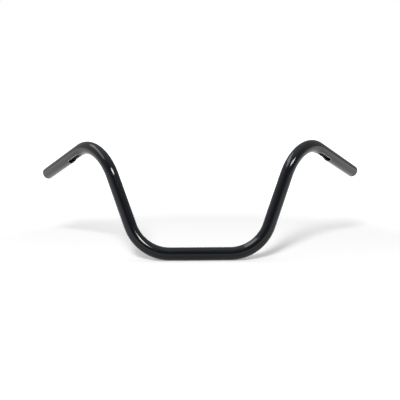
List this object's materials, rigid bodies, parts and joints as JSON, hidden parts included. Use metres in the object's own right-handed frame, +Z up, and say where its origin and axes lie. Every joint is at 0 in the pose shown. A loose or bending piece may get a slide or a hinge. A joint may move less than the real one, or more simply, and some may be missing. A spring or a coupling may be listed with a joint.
{
  "type": "pullback handlebar",
  "caption": "Motorbike handlebar bent from one steel tube: straight clamp section, raised risers and grips swept back to the rider, with a wiring slot under each grip.",
  "frame": {"origin": "middle of the straight clamp section, on the tube's axis", "axes": "+X along the clamp section, +Y back to the rider, +Z up, with the risers leaning 12 degrees back to the rider as the bar sits in its clamps"},
  "size_m": [0.6896, 0.2564, 0.225],
  "materials": {
    "gloss_black_paint": "gloss black powder coat on steel tube"
  },
  "bodies": {
    "root": {"handlebar": "gloss_black_paint"}
  },
  "joints": []
}
